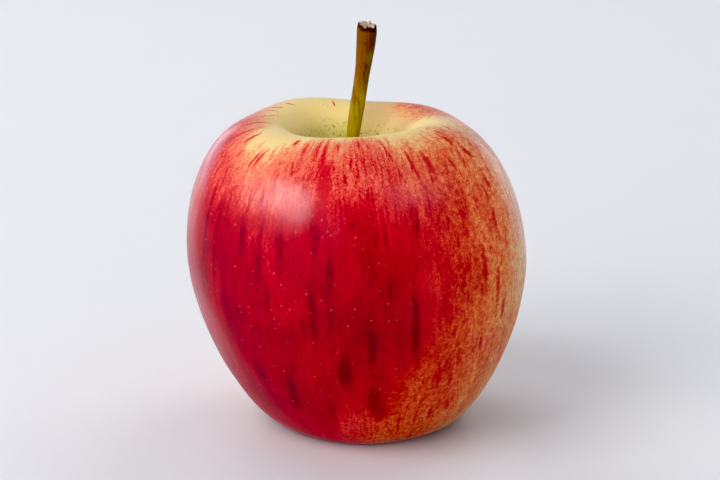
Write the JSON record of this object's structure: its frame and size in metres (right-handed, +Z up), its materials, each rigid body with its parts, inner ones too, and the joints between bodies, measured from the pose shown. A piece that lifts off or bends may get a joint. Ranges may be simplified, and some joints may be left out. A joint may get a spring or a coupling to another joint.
{
  "type": "apple",
  "caption": "Red dessert apple with a woody stem in its cavity and a dried calyx underneath, standing on the flat ring round its calyx basin.",
  "frame": {"origin": "on the surface that the apple rests on, under the middle of its bounding box", "axes": "+Z up along the apple's core towards the stem, -Y towards the viewer, +X to the viewer's right"},
  "size_m": [0.0742, 0.074, 0.0889],
  "materials": {
    "skin": "waxy satin gloss, deep red blush with darker streaks over a yellow-orange ground, pale green-yellow round the stem",
    "stem": "dry and slightly ridged, olive green below and brown towards the swollen broken end",
    "calyx": "matt, dried and papery, dark brown"
  },
  "bodies": {
    "root": {"fruit": "skin", "stem": "stem", "calyx": "calyx"}
  },
  "joints": []
}
